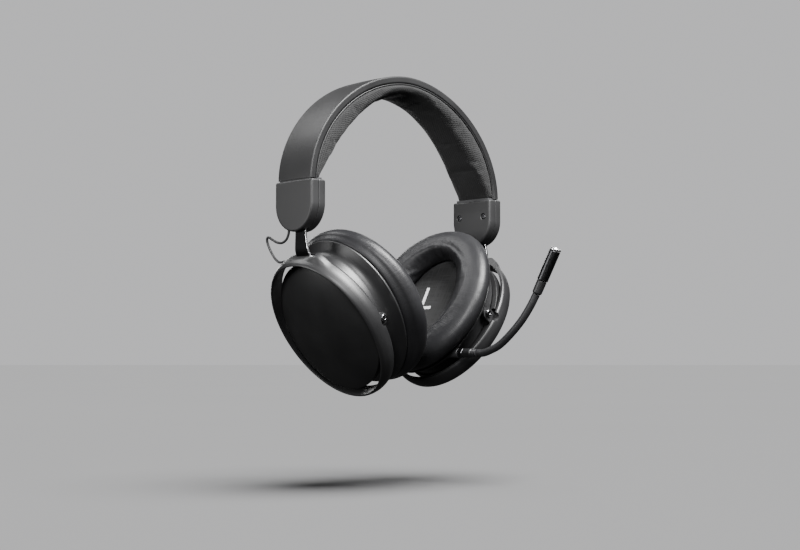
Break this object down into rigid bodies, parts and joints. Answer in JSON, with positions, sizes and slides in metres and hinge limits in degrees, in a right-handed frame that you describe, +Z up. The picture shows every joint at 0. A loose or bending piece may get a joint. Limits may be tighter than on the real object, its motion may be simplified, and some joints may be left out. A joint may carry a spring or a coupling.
{
  "type": "gaming headset",
  "caption": "Over-ear gaming headset with ring yokes, sliding steel straps, knit head cushion, leather ear pads and a detachable gooseneck boom microphone.",
  "frame": {"origin": "centre of the flat underside of the head cushion at its crown, where a head or a stand's saddle bears", "axes": "+X to the wearer's left, -Y to the front (the microphone points there), +Z up"},
  "size_m": [0.171, 0.1608, 0.2037],
  "materials": {
    "band_cover": "soft-touch matte",
    "knit": "dotted knit",
    "cap_grey": "fine matte",
    "black_plastic": "satin",
    "lid_black": "fine matte",
    "steel": "polished edges",
    "leather": "soft, fine grain",
    "scrim": "fine mesh",
    "rubber": "matte",
    "board": "solder mask",
    "cell": "wrapped pouch",
    "capsule_metal": "anodised"
  },
  "bodies": {
    "headband": {"headband_cover": "band_cover", "headband_spring": "steel", "headband_liner": "black_plastic", "head_cushion": "knit", "end_cap_outer_left": "cap_grey", "end_cap_inner_left": "cap_grey", "end_cap_outer_right": "cap_grey", "end_cap_inner_right": "cap_grey", "end_cap_screw_left_front": "steel", "end_cap_screw_left_rear": "steel", "end_cap_screw_right_front": "steel", "end_cap_screw_right_rear": "steel", "slider_guide_left": "black_plastic", "slider_guide_right": "black_plastic", "signal_wire_left": "rubber", "signal_wire_right": "rubber"},
    "yoke_left": {"size_strap_left": "steel", "yoke_ring_left": "black_plastic", "strap_rivet_left_front": "steel", "strap_rivet_left_rear": "steel", "pivot_pin_left_front": "steel", "pivot_pin_left_rear": "steel"},
    "cup_left": {"cup_shell_left": "black_plastic", "outer_cap_left": "lid_black", "baffle_left": "black_plastic", "driver_basket_left": "black_plastic", "driver_magnet_left": "steel", "scrim_left": "scrim", "ear_pad_left": "leather", "circuit_board": "board", "charge_port": "steel", "mic_socket": "black_plastic"},
    "yoke_right": {"size_strap_right": "steel", "yoke_ring_right": "black_plastic", "strap_rivet_right_front": "steel", "strap_rivet_right_rear": "steel", "pivot_pin_right_front": "steel", "pivot_pin_right_rear": "steel"},
    "cup_right": {"cup_shell_right": "black_plastic", "outer_cap_right": "lid_black", "baffle_right": "black_plastic", "driver_basket_right": "black_plastic", "driver_magnet_right": "steel", "scrim_right": "scrim", "ear_pad_right": "leather", "battery": "cell"},
    "volume_wheel": {"volume_wheel": "rubber"},
    "power_button": {"power_button": "cap_grey"},
    "mute_button": {"mute_button": "cap_grey"},
    "mic_plug": {"mic_jack_pin": "steel", "mic_plug_collar": "steel"},
    "mic_boom": {"mic_plug_sleeve": "black_plastic", "mic_strain_relief": "rubber", "gooseneck": "rubber", "capsule_sleeve": "black_plastic", "capsule_barrel": "capsule_metal", "capsule_end": "capsule_metal"}
  },
  "joints": [
    {"name": "size_slide_left", "type": "slide", "parent": "headband", "child": "yoke_left", "axis": [0, 0, -1], "range_m": [0, 0.026], "deforming": ["signal_wire_left"]},
    {"name": "size_slide_right", "type": "slide", "parent": "headband", "child": "yoke_right", "axis": [0, 0, -1], "range_m": [-0.0052, 0.0208], "deforming": ["signal_wire_right"]},
    {"name": "cup_tilt_left", "type": "hinge", "parent": "yoke_left", "child": "cup_left", "pos_m": [0.0467, 0, -0.13843], "axis": [0, -1, 0], "range_deg": [0, 7]},
    {"name": "cup_tilt_right", "type": "hinge", "parent": "yoke_right", "child": "cup_right", "pos_m": [-0.0467, 0, -0.14363], "axis": [0, 1, 0], "range_deg": [0, 7]},
    {"name": "mic_unplug", "type": "slide", "parent": "cup_left", "child": "mic_plug", "axis": [0, -1, 0], "range_m": [0, 0.016]},
    {"name": "mic_turn", "type": "hinge", "parent": "mic_plug", "child": "mic_boom", "pos_m": [0.02413, -0.0399, -0.16423], "axis": [0, -1, 0], "range_deg": [-60, 60]},
    {"name": "volume_turn", "type": "hinge", "parent": "cup_left", "child": "volume_wheel", "pos_m": [0.03318, 0.0374, -0.1482], "axis": [0.8813, 0, -0.4726], "range_deg": [-135, 135]},
    {"name": "power_press", "type": "slide", "parent": "cup_left", "child": "power_button", "axis": [0, -1, 0], "range_m": [0, 0.0008], "stiffness_N_per_m": 1500},
    {"name": "mute_press", "type": "slide", "parent": "cup_left", "child": "mute_button", "axis": [0, -1, 0], "range_m": [0, 0.0008], "stiffness_N_per_m": 1500}
  ]
}
